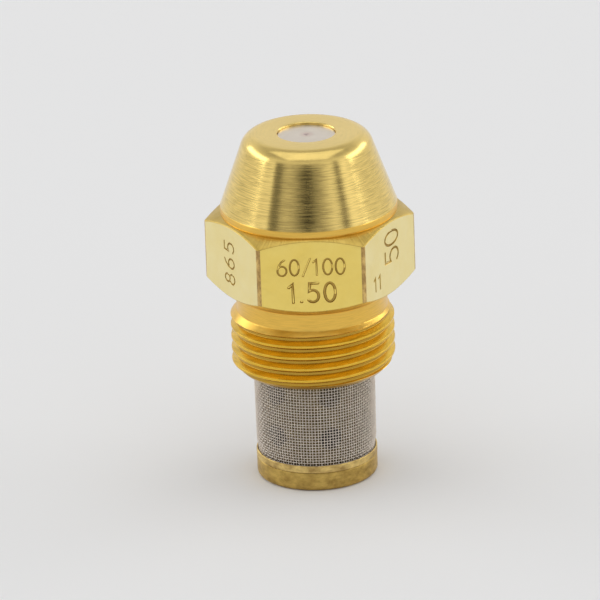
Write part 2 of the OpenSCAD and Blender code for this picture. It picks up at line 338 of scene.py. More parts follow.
def stamped_flat(shell, side, strokes, material, stroke_shade_material):
    """The face of one flat, with the strokes pressed into it; the strokes' walls take a dark
    material, painted shade.
    """
    facing = math.radians(30 + 60 * side)
    out = Vector((math.cos(facing), math.sin(facing), 0))
    along = Vector((-out.y, out.x, 0))
    columns = [p for p, s in SECTION if s == side]
    upper = [(p.dot(along.xy), high_z(p.length) - EDGE_BREAK) for p in columns]
    lower = [(p.dot(along.xy), low_z(p.length) + EDGE_BREAK) for p in columns]
    border = lower + upper[::-1]
    points = [Vector(p) for p in border]
    edges = [(i, (i + 1) % len(border)) for i in range(len(border))]
    for stroke, half in strokes:
        for offset in (STROKE_FLOOR * half, half, half + BURR_REACH):
            loop = around(stroke, offset)
            base = len(points)
            points.extend(loop)
            edges.extend((base + i, base + (i + 1) % len(loop)) for i in range(len(loop)))
    found, _, triangles, *_ = delaunay_2d_cdt(points, edges, [], 0, 1e-5)

    def depth_at(p):
        """Depth of the nearest stroke at a point: 0 outside every stroke."""
        depth = 0
        for stroke, half in strokes:
            inside = half - distance_to(p, stroke)
            if inside > 1e-4:
                share = min(1, inside / (half * (1 - STROKE_FLOOR)))
                depth = max(depth, share * half * STROKE_DEPTH)
        return depth

    edge = {(round(x, 4), round(y, 4)) for x, y in border}
    depths = [0 if (round(p.x, 4), round(p.y, 4)) in edge else depth_at(p) for p in found]
    ids = []
    for p, depth in zip(found, depths):
        place = out * (FLAT_R - depth) + along * p.x
        ids.append(shell.add((place.x, place.y, p.y)))
    for triangle in triangles:
        # a stroke's walls get the painted shade, its floor keeps the flat's colour
        on_wall = max(depths[i] for i in triangle) - min(depths[i] for i in triangle) > 1e-4
        shell.face([ids[i] for i in triangle], stroke_shade_material if on_wall else material)


# ---------------------------------------------------------------- threads


def thread_rows(root_r, crest_r, pitch, root_w, root_round, crest_round, step=0.06):
    """(r, z) along one pitch of a 60 degree thread, starting in the middle of a root."""
    flank_w = abs(crest_r - root_r) * math.tan(math.radians(30))
    z1 = root_w / 2
    z2 = z1 + flank_w
    corners = [(root_r, 0, 0), (root_r, z1, root_round), (crest_r, z2, crest_round),
               (crest_r, pitch - z2, crest_round), (root_r, pitch - z1, root_round),
               (root_r, pitch, 0)]
    rough = outline(corners, steps=3)
    rows = []
    for a, b in zip(rough, rough[1:]):
        n = max(1, math.ceil(math.dist(a, b) / step))
        rows += [(a[0] + (b[0] - a[0]) * i / n, a[1] + (b[1] - a[1]) * i / n)
                 for i in range(n)]
    return rows


def helical_band(shell, rows, pitch, z0, turn, low, high, limit, material=0):
    """A right-hand thread surface between two heights; limit(r, z) trims its radius."""
    first = math.floor((low - z0) / pitch) - 2
    last = math.ceil((high - z0) / pitch) + 2
    long_rows = [(r, z0 + pitch * k + z) for k in range(first, last) for r, z in rows]
    columns = []
    for index in range(COLUMNS):
        angle = ANGLES[index]
        turned = (angle - turn) % (2 * math.pi)
        column = []
        for r, z in long_rows:
            height = min(high, max(low, z + pitch * turned / (2 * math.pi)))
            radius = limit(r, height)
            column.append(shell.add((radius * math.cos(angle), radius * math.sin(angle),
                                     height)))
        columns.append((turned, column))
    columns.sort()
    per_pitch = len(rows)
    count = len(long_rows)
    for c in range(COLUMNS):
        a = columns[c][1]
        b = columns[(c + 1) % COLUMNS][1]
        shift = per_pitch if c == COLUMNS - 1 else 0
        for j in range(count - 1 - shift):
            shell.face((a[j], b[j + shift], b[j + 1 + shift], a[j + 1]), material)


# ---------------------------------------------------------------- materials


class Nodes:
    """Small helper for building a node tree."""

    def __init__(self, name):
        self.material = bpy.data.materials.new(name)
        self.material.use_nodes = True
        self.tree = self.material.node_tree
        self.shader = self.tree.nodes["Principled BSDF"]
        self.place = self.add("ShaderNodeTexCoord").outputs["Object"]

    def add(self, kind, inputs=None, **settings):
        node = self.tree.nodes.new(kind)
        for key, value in settings.items():
            setattr(node, key, value)
        for key, value in (inputs or {}).items():
            self.set(node.inputs[key], value)
        return node

    def set(self, socket, value):
        if isinstance(value, bpy.types.NodeSocket):
            self.tree.links.new(value, socket)
        else:
            socket.default_value = value

    def math(self, operation, a, b):
        node = self.add("ShaderNodeMath", {0: a, 1: b}, operation=operation)
        return node.outputs[0]

    def scaled(self, scale):
        node = self.add("ShaderNodeVectorMath", {0: self.place, 1: scale},
                        operation="MULTIPLY")
        return node.outputs[0]

    def noise(self, vector, scale, detail, roughness, dimensions="3D"):
        key = "W" if dimensions == "1D" else "Vector"
        node = self.add("ShaderNodeTexNoise",
                        {key: vector, "Scale": scale, "Detail": detail,
                         "Roughness": roughness}, noise_dimensions=dimensions)
        return node.outputs[0]

    def ramp(self, value, stops):
        node = self.add("ShaderNodeValToRGB", {0: value})
        ramp = node.color_ramp
        while len(ramp.elements) < len(stops):
            ramp.elements.new(0.5)
        for element, (position, color) in zip(ramp.elements, stops):
            element.position = position
            element.color = (*color, 1)
        return node.outputs[0]

    def mixed(self, share, first, second):
        """Colour that goes from first to second as share goes from 0 to 1."""
        node = self.add("ShaderNodeMix", data_type="RGBA")
        self.set(node.inputs["Factor"], share)
        for socket, color in ((node.inputs[6], first), (node.inputs[7], second)):
            self.set(socket, (*color, 1) if isinstance(color, tuple) else color)
        return node.outputs[2]

    def span(self, value, low, high):
        node = self.add("ShaderNodeMapRange", {"Value": value, "To Min": low, "To Max": high})
        return node.outputs[0]

    def bump(self, height, strength, distance, normal=None):
        inputs = {"Height": height, "Strength": strength, "Distance": distance}
        if normal is not None:
            inputs["Normal"] = normal
        return self.add("ShaderNodeBump", inputs).outputs[0]

    def finish(self, color, roughness, normal=None, metallic=1.0):
        self.set(self.shader.inputs["Base Color"], color)
        self.set(self.shader.inputs["Roughness"], roughness)
        self.shader.inputs["Metallic"].default_value = metallic
        if normal is not None:
            self.set(self.shader.inputs["Normal"], normal)
        return self.material


BRASS = (0.88, 0.655, 0.215)
BRASS_DEEP = (0.84, 0.53, 0.062)
BRASS_NECK = (0.89, 0.56, 0.11)


def axis_distance(nodes):
    """Distance from the nozzle's axis, in metres."""
    flat = nodes.add("ShaderNodeVectorMath", {0: nodes.place, 1: (1, 1, 0)},
                     operation="MULTIPLY").outputs[0]
    return nodes.add("ShaderNodeVectorMath", {0: flat}, operation="LENGTH").outputs["Value"]


def lathe_place(nodes):
    """Radius plus height, so lines run round a turned surface and across its faces."""
    parts = nodes.add("ShaderNodeSeparateXYZ", {0: nodes.place})
    return nodes.math("ADD", parts.outputs[2],
                      nodes.math("MULTIPLY", axis_distance(nodes), 0.83))


def around_axis(nodes):
    """Angle round the nozzle's axis, so marks run straight down a chamfer."""
    parts = nodes.add("ShaderNodeSeparateXYZ", {0: nodes.place})
    return nodes.math("ARCTAN2", parts.outputs[1], parts.outputs[0])


def turned_brass(name, roughness, line_strength, anisotropy, tint=BRASS, streakiness=0.5,
                 root=None):
    """Turned surface with broken tool lines round it; root paints shade into a thread's grooves,
    darkest at their bottoms.
    """
    nodes = Nodes(name)
    place = lathe_place(nodes)
    streak_place = nodes.add("ShaderNodeCombineXYZ", {
        0: nodes.math("MULTIPLY", around_axis(nodes), 4.0),
        1: nodes.math("MULTIPLY", place, 13000)}).outputs[0]
    streaks = nodes.noise(streak_place, 1, 3, 0.6)
    fine = nodes.noise(place, 9000, 4, 0.7, "1D")
    dark = tuple(c * (1 - 0.5 * streakiness) for c in tint)
    light = tuple(min(1, c * (1 + 0.3 * streakiness)) for c in tint)
    color = nodes.ramp(streaks, [(0.34, dark), (0.52, tint), (0.68, light)])
    # painted shade: the colour darkens towards the bottom of a thread's grooves
    if root:
        inner, outer, groove_shade_tone = root
        depth = nodes.add("ShaderNodeMapRange", {"Value": axis_distance(nodes),
                                                 "From Min": inner * MM, "From Max": outer * MM})
        color = nodes.mixed(depth.outputs[0], groove_shade_tone, color)
    lines = nodes.math("ADD", fine, nodes.math("MULTIPLY", streaks, 1.6))
    rough = nodes.span(streaks, roughness - 0.16 * streakiness, roughness + 0.24 * streakiness)
    normal = nodes.bump(lines, line_strength, 0.00002)
    nodes.shader.inputs["Anisotropic"].default_value = anisotropy
    tangent = nodes.add("ShaderNodeTangent", direction_type="RADIAL", axis="Z").outputs[0]
    nodes.set(nodes.shader.inputs["Tangent"], tangent)
    nodes.shader.inputs["Anisotropic Rotation"].default_value = 0.25
    return nodes.finish(color, rough, normal)


def chattered_brass(name):
    """Turned chamfers of the hexagon: tool chatter leaves marks side by side."""
    nodes = Nodes(name)
    angle = around_axis(nodes)
    marks = nodes.noise(angle, 44, 2, 0.5, "1D")
    fine = nodes.noise(lathe_place(nodes), 15000, 3, 0.6, "1D")
    patch = nodes.noise(nodes.place, 500, 4, 0.6)
    color = nodes.ramp(patch, [(0.3, (0.58, 0.40, 0.085)), (0.7, (0.73, 0.525, 0.135))])
    height = nodes.math("ADD", marks, nodes.math("MULTIPLY", fine, 0.25))
    return nodes.finish(color, nodes.span(fine, 0.24, 0.4),
                        nodes.bump(height, 0.55, 0.0001))


def worn_corner(name):
    """Upright corners of the bar: bruised, with darker skin left between the bruises."""
    nodes = Nodes(name)
    patch = nodes.noise(nodes.scaled((1, 1, 0.6)), 1700, 5, 0.75)
    color = nodes.ramp(patch, [(0.40, (0.43, 0.27, 0.10)), (0.55, (0.68, 0.455, 0.165)),
                               (0.68, (0.88, 0.65, 0.24))])
    return nodes.finish(color, nodes.span(patch, 0.6, 0.28),
                        nodes.bump(patch, 0.8, 0.00008))


def drawn_brass(name, low, high):
    """Flats of drawn hexagon bar: slightly uneven, with faint lines along the bar and pits."""
    nodes = Nodes(name)
    lines = nodes.noise(nodes.scaled((9000, 9000, 260)), 1, 4, 0.6)
    grain = nodes.noise(nodes.place, 5200, 5, 0.7)
    swell = nodes.noise(nodes.place, 420, 3, 0.55)
    pits = nodes.ramp(nodes.noise(nodes.place, 1900, 2, 0.5),
                      [(0.24, (0, 0, 0)), (0.32, (1, 1, 1))])
    color = nodes.ramp(swell, [(0.3, low), (0.7, high)])
    rough = nodes.span(grain, 0.22, 0.4)
    height = nodes.math("ADD", nodes.math("MULTIPLY", lines, 0.6), grain)
    uneven = nodes.bump(swell, 0.6, 0.0003)
    dented = nodes.bump(pits, 0.35, 0.00001, uneven)
    return nodes.finish(color, rough, nodes.bump(height, 0.3, 0.000014, dented))


def dull_brass(name, low, high, grain):
    """Strainer brass: mottled, slightly tarnished, with a fine grain; the near-black colours
    given for the core and the cap's plug are painted shade.
    """
    nodes = Nodes(name)
    patch = nodes.noise(nodes.scaled((1, 1, 1.6)), 900, 6, 0.65)
    grit = nodes.noise(nodes.place, 7000, 4, 0.7)
    color = nodes.ramp(patch, [(0.32, low), (0.5, tuple((a + b) / 2 for a, b in zip(low, high))),
                               (0.68, high)])
    rough = nodes.span(patch, 0.5, 0.32)
    height = nodes.math("ADD", patch, nodes.math("MULTIPLY", grit, 0.5))
    return nodes.finish(color, rough, nodes.bump(height, grain, 0.00004))


def steel(name, tint, roughness, stain=None):
    """Lapped steel with faint rings; a stain colours it round the axis."""
    nodes = Nodes(name)
    place = lathe_place(nodes)
    rings = nodes.noise(place, 20000, 3, 0.6, "1D")
    patch = nodes.noise(nodes.place, 900, 4, 0.6)
    color = nodes.ramp(patch, [(0.3, tuple(c * 0.93 for c in tint)), (0.7, tint)])
    if stain:
        ragged = nodes.math("ADD", nodes.math("MULTIPLY", axis_distance(nodes), 1 / MM),
                            nodes.math("MULTIPLY", patch, 0.5))
        share = nodes.ramp(ragged, [(0.35, (0, 0, 0)), (1.0, (1, 1, 1))])
        color = nodes.mixed(share, stain, color)
    rough = nodes.span(rings, roughness - 0.06, roughness + 0.08)
    return nodes.finish(color, rough, nodes.bump(rings, 0.15, 0.000006))


def wire(name):
    """Bright drawn wire with fine scratches."""
    nodes = Nodes(name)
    patch = nodes.noise(nodes.place, 1500, 4, 0.6)
    color = nodes.ramp(patch, [(0.3, (0.76, 0.675, 0.585)), (0.7, (0.93, 0.85, 0.76))])
    scratches = nodes.noise(nodes.place, 22000, 2, 0.5)
    rough = nodes.span(scratches, 0.26, 0.44)
    return nodes.finish(color, rough, nodes.bump(scratches, 0.2, 0.000004), metallic=0.8)


NOSE_BRASS = turned_brass("nose_brass", roughness=0.2, line_strength=0.12, anisotropy=0.6,
                          streakiness=0.16)
TAPER_BRASS = turned_brass("taper_brass", roughness=0.15, line_strength=0.14, anisotropy=0.45,
                           streakiness=0.46)
# the thread's grooves get painted shade at their roots
THREAD_BRASS = turned_brass(
    "thread_brass", roughness=0.22, line_strength=0.15, anisotropy=0.3, tint=BRASS_DEEP,
    streakiness=0.4, root=(THREAD_ROOT_R + 0.02, THREAD_ROOT_R + 0.12, (0.52, 0.31, 0.045)))
NECK_BRASS = turned_brass("neck_brass", roughness=0.3, line_strength=0.15, anisotropy=0.4,
                          tint=BRASS_NECK, streakiness=0.25)
# painted shade: dark brass for the walls of the stamped strokes
STAMP_SHADE_BRASS = drawn_brass("stamp_wall_painted_shade", (0.38, 0.24, 0.05), (0.56, 0.37, 0.09))
CHAMFER_BRASS = chattered_brass("chamfer_brass")
CORNER_BRASS = worn_corner("corner_brass")
FLAT_BRASS = drawn_brass("flat_brass", (0.93, 0.70, 0.17), (0.96, 0.745, 0.205))
# painted sheen: a paler copy of the flat brass for the four flats beside the front and back
SHEEN_FLAT_BRASS = drawn_brass("flat_brass_painted_sheen", (0.93, 0.78, 0.35), (0.96, 0.83, 0.42))
INNER_BRASS = turned_brass("inner_brass", roughness=0.35, line_strength=0.3, anisotropy=0.2)
# painted shade: near-black brass for the cap's plug inside the strainer
PLUG_SHADE_BRASS = dull_brass("plug_painted_shade", (0.05, 0.035, 0.015), (0.10, 0.07, 0.03), grain=0.4)
CAP_BRASS = dull_brass("cap_brass", (0.36, 0.225, 0.06), (0.72, 0.505, 0.14), grain=0.5)
RING_BRASS = dull_brass("ring_brass", (0.42, 0.27, 0.09), (0.93, 0.70, 0.26), grain=1.0)
# painted shade: the core inside the cloth is made dark so that the holes and ports look dark
CORE_SHADE_BRASS = dull_brass("core_painted_shade", (0.13, 0.095, 0.045), (0.24, 0.18, 0.085), grain=0.4)
STEEL = steel("disc_steel", (0.82, 0.74, 0.64), roughness=0.34, stain=(0.72, 0.57, 0.50))
# painted shade: darker steel for the flare round the orifice
ORIFICE_SHADE_STEEL = steel("orifice_painted_shade", (0.58, 0.47, 0.44), roughness=0.5)
DARK_STEEL = steel("cone_steel", (0.5, 0.48, 0.47), roughness=0.28)
WIRE = wire("cloth_wire")

# ---------------------------------------------------------------- nozzle body


def nose_outline():
    """From the window's inner edge over the top and down the taper to the hexagon."""
    apex_r = NOSE_BASE_R - (TOP_Z - NOSE_BASE_Z) * math.tan(NOSE_ANGLE)
    return outline([
        (WINDOW_R, DISC_SHOULDER_Z, 0), (WINDOW_R, TOP_Z - WINDOW_CHAMFER, 0.01),
        (WINDOW_R + WINDOW_CHAMFER, TOP_Z, 0.02), (apex_r, TOP_Z, NOSE_ROUND),
        (NOSE_BASE_R, NOSE_BASE_Z, 0.04), (LAND_R, NOSE_BASE_Z - 0.06, 0.03),
        (LAND_R, HEX_TOP_Z + UNDERCUT + UNDERCUT_RISE, 0.02),
        (LAND_R - UNDERCUT, HEX_TOP_Z + UNDERCUT, 0.01),
        (LAND_R - UNDERCUT, HEX_TOP_Z, 0)], steps=8)


def refined(points, step):
    """Extra points along the straight stretches of an outline."""
    dense = []
    for a, b in zip(points, points[1:]):
        n = max(1, math.ceil(math.dist(a, b) / step))
        dense += [(a[0] + (b[0] - a[0]) * i / n, a[1] + (b[1] - a[1]) * i / n)
                  for i in range(n)]
    return dense + points[-1:]


def thread_limit(r, z):
    """Keeps the burner thread inside its foot chamfer and its run-out."""
    if z > THREAD_END_Z:
        r = min(r, max(NECK_R, THREAD_CREST_R - (z - THREAD_END_Z)))
    return min(r, FOOT_EDGE_R + (z - FOOT_Z))


def sharpen_borders(mesh, materials):
    """Faces of these materials keep their own shading right up to their borders."""
    sides = {}
    for polygon in mesh.polygons:
        for key in polygon.edge_keys:
            sides.setdefault(key, set()).add(polygon.material_index)
    for edge in mesh.edges:
        meeting = sides[tuple(sorted(edge.vertices))]
        if len(meeting) > 1 and meeting & materials:
            edge.use_edge_sharp = True


# places of the body's materials on its mesh
TURNED, THREADED, FLAT, CHAMFERED, CORNER, SHEEN_FLAT, PLAIN_NECK, STAMP_SHADE, TAPERED = range(9)
BODY_MATERIALS = [NOSE_BRASS, THREAD_BRASS, FLAT_BRASS, CHAMFER_BRASS, CORNER_BRASS, SHEEN_FLAT_BRASS,
                  NECK_BRASS, STAMP_SHADE_BRASS, TAPER_BRASS]
STAMPS = {
    FRONT_FACE: (write_line("60/100", 0, 21.95, height=1.45, spread=0.74, half=0.085)
                 + write_line("1.50", 0, 19.6, height=1.72, spread=0.84, half=0.125)),
    LEFT_FACE: write_line("865", -0.3, 21.0, height=1.6, spread=0.9, half=0.085, turned=True),
    RIGHT_FACE: (write_line("50", 0.3, 22.0, height=2.3, spread=0.72, half=0.11, turned=True)
                 + write_line("11", -2.2, 19.5, height=1.3, spread=0.6, half=0.09)),
}


def add_nose(shell):
    """Window, top, rounding, taper and land."""
    nose = refined(nose_outline(), NOSE_ROW_STEP)
    for (r, z), (next_r, next_z) in zip(nose, nose[1:]):
        slope = (next_r - r) / (z - next_z) if z > next_z else 0
        on_taper = abs(slope - math.tan(NOSE_ANGLE)) < 0.01
        on_land = z < NOSE_BASE_Z
        shell.rings([ring(r, z), ring(next_r, next_z)],
                    TAPERED if on_taper else PLAIN_NECK if on_land else TURNED)


def add_hexagon(shell):
    """Chamfers, broken edges and neck, then the upright corners and the stamped flats."""
    shell.rings([ring(LAND_R - UNDERCUT, HEX_TOP_Z), ring(LAND_R, HEX_TOP_Z)], TURNED)
    inset, drop = BREAK_MIDDLE
    upper = [ring(LAND_R, HEX_TOP_Z),
             hex_ring(CHAMFER_EDGE, lambda r: high_z(r - CHAMFER_EDGE)),
             hex_ring(inset, lambda r: high_z(r) - drop),
             hex_ring(0, lambda r: high_z(r) - EDGE_BREAK)]
    lower = [hex_ring(0, lambda r: low_z(r) + EDGE_BREAK),
             hex_ring(inset, lambda r: low_z(r) + drop),
             hex_ring(CHAMFER_EDGE, lambda r: low_z(r - CHAMFER_EDGE))]
    lower += [ring(NECK_R + reach, HEX_FOOT_Z + share * CHAMFER)
              for reach, share in NECK_FILLET]
    shell.rings(upper, CHAMFERED)
    shell.rings(lower, CHAMFERED)
    shell.rings([lower[-1], ring(NECK_R, HEX_FOOT_Z - NECK_FILLET_FOOT),
                 ring(NECK_R, NECK_START_Z + NECK_OVERLAP)], PLAIN_NECK)

    top, bottom = upper[-1], lower[0]
    for i in range(COLUMNS):
        j = (i + 1) % COLUMNS
        here, there = SECTION[i][1], SECTION[j][1]
        if here is None or here != there:
            shell.face([shell.add(p) for p in (top[i], top[j], bottom[j], bottom[i])], CORNER)
    for side in range(6):
        direction = (30 + 60 * side + 180) % 360 - 180
        # the four flats beside the front and the back one are painted paler, a painted sheen;
        # the front and back flats keep the deeper colour
        stamped_flat(shell, side, STAMPS.get(direction, []),
                     FLAT if abs(direction) == 90 else SHEEN_FLAT, STAMP_SHADE)


def add_threads_and_bores(shell):
    """The burner thread, then the bores from the foot upwards."""
    rows = thread_rows(THREAD_ROOT_R, THREAD_CREST_R, THREAD_PITCH, THREAD_PITCH / 4,
                       THREAD_ROOT_ROUND, THREAD_CREST_ROUND)
    helical_band(shell, rows, THREAD_PITCH, GROOVE_FRONT_Z, math.radians(-90), FOOT_Z,
                 NECK_START_Z + NECK_OVERLAP, thread_limit, THREADED)
    bore = outline([
        (FOOT_EDGE_R, FOOT_Z, 0), (RECESS_R + 0.15, FOOT_Z, 0.03),
        (RECESS_R, FOOT_Z + 0.15, 0.03), (RECESS_R, RECESS_TOP_Z, 0),
        (SPIGOT_BORE_R, RECESS_TOP_Z, 0.05), (SPIGOT_BORE_R, SPIGOT_BORE_TOP_Z, 0),
        (SCREW_BORE_R, NUT_LOW_Z, 0)], steps=3)
    shell.rings([ring(r, z) for r, z in refined(bore, BORE_ROW_STEP)], TURNED)
    nut = thread_rows(NUT_GROOVE_R, SCREW_BORE_R, SCREW_PITCH, NUT_GROOVE_W, 0, 0, NUT_STEP)
    helical_band(shell, nut, SCREW_PITCH, NUT_LOW_Z, 0, NUT_LOW_Z, NUT_HIGH_Z,
                 lambda r, z: SCREW_BORE_R if z in (NUT_LOW_Z, NUT_HIGH_Z) else r, TURNED)
    shell.rings([ring(r, z) for r, z in (
        (SCREW_BORE_R, NUT_HIGH_Z), (SCREW_BORE_R, DISC_BORE_FOOT_Z),
        (DISC_BORE_R, DISC_BORE_FOOT_Z), (DISC_BORE_R, DISC_SHOULDER_Z),
        (WINDOW_R, DISC_SHOULDER_Z))], TURNED)


def make_body():
    shell = Shell()
    add_nose(shell)
    add_hexagon(shell)
    add_threads_and_bores(shell)
    piece = shell.build("nozzle_body_turned", BODY_MATERIALS)
    # the thread's run-out shines like the neck
    for polygon in piece.data.polygons:
        if polygon.material_index == THREADED and polygon.center.z > THREAD_END_Z * MM:
            polygon.material_index = PLAIN_NECK
    sharpen_borders(piece.data, {FLAT, SHEEN_FLAT})
    return piece


body = make_body()
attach(body, "body")
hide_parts("nozzle_body")

# ---------------------------------------------------------------- orifice disc


def make_disc():
    top, foot = disc_high[2], disc_low[2]
    shoulder = DISC_SHOULDER_Z - HAIRLINE
    flange_r = disc_high[0]
    boss_r = WINDOW_R - 0.03            # the boss fits into the window with this gap
    orifice_r, flare_r, flare_h = 0.12, 0.25, 0.1
    mouth_r = 2.05                      # mouth of the hollow cone under the orifice
    corners = [
        (orifice_r, top - flare_h, 0.02), (flare_r, top, 0.03), (boss_r, top, 0.03),
        (boss_r, shoulder, 0), (flange_r, shoulder, 0.05), (flange_r, foot, 0.05),
        (mouth_r, foot, 0.03), (orifice_r, foot + mouth_r - orifice_r, 0.01)]
    piece = lathe("orifice_disc_lapped", corners, [STEEL, ORIFICE_SHADE_STEEL])
    reach = (flare_r - 0.03) * MM       # the flare and the orifice inside it are darker: painted shade in that hollow
    for polygon in piece.data.polygons:
        if math.hypot(polygon.center.x, polygon.center.y) < reach:
            polygon.material_index = 1
    return piece


disc = make_disc()
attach(disc, "disc")
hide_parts("orifice_disc")

# ---------------------------------------------------------------- strainer cloth

WIRE_COUNT = 126            # upright wires round the sleeve
WIRE_R = 0.042              # a wire's own radius
GRIP_R, GRIP_TOP_Z, SWELL_R, SWELL_Z = 5.14, 2.5, 5.26, 3.3
CLOTH_R = cloth_high[0]
ROW_PITCH = 2 * math.pi * (CLOTH_R - 2 * WIRE_R) / WIRE_COUNT
ROW_COUNT = int((cloth_high[2] - cloth_low[2] - 2 * WIRE_R) / ROW_PITCH)
ROW_START_Z = cloth_low[2] + WIRE_R + HAIRLINE
SAMPLES = 3                 # points along a wire between two crossings
WIRE_SIDES = 5


def cloth_middle_r(z):
    """Radius of the middle of the cloth: gripped at the foot, full under the body."""
    if z < GRIP_TOP_Z:
        outer = GRIP_R
    elif z < SWELL_Z:
        outer = GRIP_R + (SWELL_R - GRIP_R) * (z - GRIP_TOP_Z) / (SWELL_Z - GRIP_TOP_Z)
    else:
        outer = SWELL_R + (CLOTH_R - SWELL_R) * min(1, (z - SWELL_Z) / (FOOT_Z - SWELL_Z))
    return outer - 2 * WIRE_R


def wire_mesh(name, wires, closed):
    """One object from many wires; a wire is a list of (centre, direction a, direction b)."""
    shell = Shell()
    for path in wires:
        rings_made = []
        for centre, a, b in path:
            rings_made.append([
                shell.add(tuple(c + WIRE_R * (math.cos(t) * u + math.sin(t) * v)
                                for c, u, v in zip(centre, a, b)))
                for t in (2 * math.pi * k / WIRE_SIDES for k in range(WIRE_SIDES))])
        pairs = list(zip(rings_made, rings_made[1:]))
        if closed:
            pairs.append((rings_made[-1], rings_made[0]))
        for first, second in pairs:
            shell.strip(first, second)
        if not closed:
            shell.face(tuple(rings_made[0][::-1]))
            shell.face(tuple(rings_made[-1]))
    piece = shell.build(name, [WIRE], sharp_degrees=80, weld=0.0005)
    piece.modifiers.clear()
    return piece


def make_cloth():
    dice = random.Random(7)
    turn = 2 * math.pi / WIRE_COUNT
    drift = [dice.gauss(0, 0.035) * turn for _ in range(WIRE_COUNT)]
    sag = [dice.gauss(0, 0.03) * ROW_PITCH for _ in range(ROW_COUNT + 1)]
    upright = []
    for i in range(WIRE_COUNT):
        path = []
        angle = turn * i + drift[i]
        out = (math.cos(angle), math.sin(angle), 0)
        across = (-out[1], out[0], 0)
        for k in range(ROW_COUNT * SAMPLES + 1):
            row = k / SAMPLES
            z = ROW_START_Z + ROW_PITCH * row
            r = cloth_middle_r(z) + WIRE_R * math.cos(math.pi * (row + i))
            path.append(((r * out[0], r * out[1], z), out, across))
        upright.append(path)
    hoops = []
    for j in range(ROW_COUNT + 1):
        path = []
        z = ROW_START_Z + ROW_PITCH * j + sag[j]
        for k in range(WIRE_COUNT * SAMPLES):
            place = k / SAMPLES
            angle = turn * place
            r = cloth_middle_r(z) - WIRE_R * math.cos(math.pi * (place + j))
            out = (math.cos(angle), math.sin(angle), 0)
            path.append(((r * out[0], r * out[1], z), out, (0, 0, 1)))
        hoops.append(path)
    return (wire_mesh("cloth_upright_wires", upright, False),
            wire_mesh("cloth_hoop_wires", hoops, True))


upright_wires, hoop_wires = make_cloth()
for piece in (upright_wires, hoop_wires):
    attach(piece, "strainer")
    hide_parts("filter_mesh")

# ---------------------------------------------------------------- strainer cap and ring


def ripple(seed, size, detail):
    """A smooth random field on a turned surface, repeatable for a seed."""
    dice = random.Random(seed)
    waves = [(dice.randint(2, detail), dice.uniform(0, 6.28), dice.uniform(-3, 3),
              dice.uniform(0.4, 1)) for _ in range(14)]

    def field(z, angle):
        total = sum(w * math.sin(n * angle + phase + lean * z) for n, phase, lean, w in waves)
        return size * total / 4
    return field


def make_cap():
    radius, foot, top = cap_high[0], cap_low[2], ring_low[2] - HAIRLINE
    plug_r, plug_top = 4.13, cap_high[2]
    rounding = 0.38
    wave = ripple(seed=3, size=0.006, detail=40)
    corners = [
        (0, foot, 0), (radius - 0.6, foot, 0), (radius, foot, rounding), (radius, foot + 0.5, 0),
        (radius, top - 0.25, 0), (radius, top, 0.06), (plug_r, top, 0.03),
        (plug_r, plug_top, 0.1), (0, plug_top, 0)]

    def uneven(r, z, a):
        return (min(0, wave(z, a)) if radius - 0.3 < r < radius else 0, 0)
    piece = lathe("end_cap_turned", corners, [CAP_BRASS, PLUG_SHADE_BRASS], columns=256,
                  steps=7, wobble=uneven)
    # the plug above the cap takes the painted shade
    for polygon in piece.data.polygons:
        if polygon.center.z > (top + 0.01) * MM:
            polygon.material_index = 1
    return piece


def make_clamp_ring():
    radius, foot, top = ring_high[0], ring_low[2], ring_high[2]
    inner = GRIP_R + HAIRLINE
    ragged_h = 0.2                      # the upper edge is rough down to here
    wave = ripple(seed=11, size=0.012, detail=90)
    corners = [(inner, foot, 0), (radius, foot, 0.05), (radius, (foot + top) / 2, 0),
               (radius, top, 0.07), (inner, top, 0.05)]

    def rough(r, z, a):
        edge = (top - z) < ragged_h
        return (-abs(wave(z, a)) if r > inner + 0.06 else 0,
                -abs(wave(z + 5, a)) * 1.6 if edge else 0)
    return lathe("clamp_ring_rolled", corners, [RING_BRASS], columns=360, wobble=rough)


cap = make_cap()
ring_piece = make_clamp_ring()
for piece, node in ((cap, "end_cap"), (ring_piece, "lower_clamp_ring")):
    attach(piece, "strainer")
    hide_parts(node)

# ---------------------------------------------------------------- CAD nodes that stay


def finish_node(node, material):
    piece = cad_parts[node]
    piece.data.materials.clear()
    piece.data.materials.append(material)


for node, material in (("swirl_cone", DARK_STEEL), ("lock_screw", INNER_BRASS),
                       ("filter_collar", INNER_BRASS), ("filter_core", CORE_SHADE_BRASS),
                       ("upper_clamp_ring", RING_BRASS)):
    finish_node(node, material)

# ---------------------------------------------------------------- floor, light, camera

FLOOR_SIZE = 6.0
floor_mesh = bpy.data.meshes.new("floor")
edge = FLOOR_SIZE / 2
floor_mesh.from_pydata([(-edge, -edge, 0), (edge, -edge, 0), (edge, edge, 0), (-edge, edge, 0)],
                       [], [(0, 1, 2, 3)])
floor = bpy.data.objects.new("floor", floor_mesh)
bpy.context.scene.collection.objects.link(floor)
floor_nodes = Nodes("floor_paper")
floor_mesh.materials.append(floor_nodes.finish((0.88, 0.88, 0.883, 1), 0.9, metallic=0.0))
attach(floor, "strainer")      # what the nozzle stands on stays under a pulled strainer

AXIS_POINT = Vector((0, 0, 15.7)) * MM       # the point on the axis that the camera looks near
CAMERA_DISTANCE = 700 * MM
CAMERA_ELEVATION = math.radians(21)
CAMERA_ROLL = math.radians(-2)
AIM_RIGHT, AIM_UP = -1.05 * MM, 0.17 * MM
LENS = 481.7                                 # focal length in millimetres


def aimed(place, target, roll=0.0):
    """Rotation that looks from place towards target."""
    turn = (target - place).to_track_quat("-Z", "Y").to_matrix().to_4x4()
    return turn @ Matrix.Rotation(roll, 4, "Z")


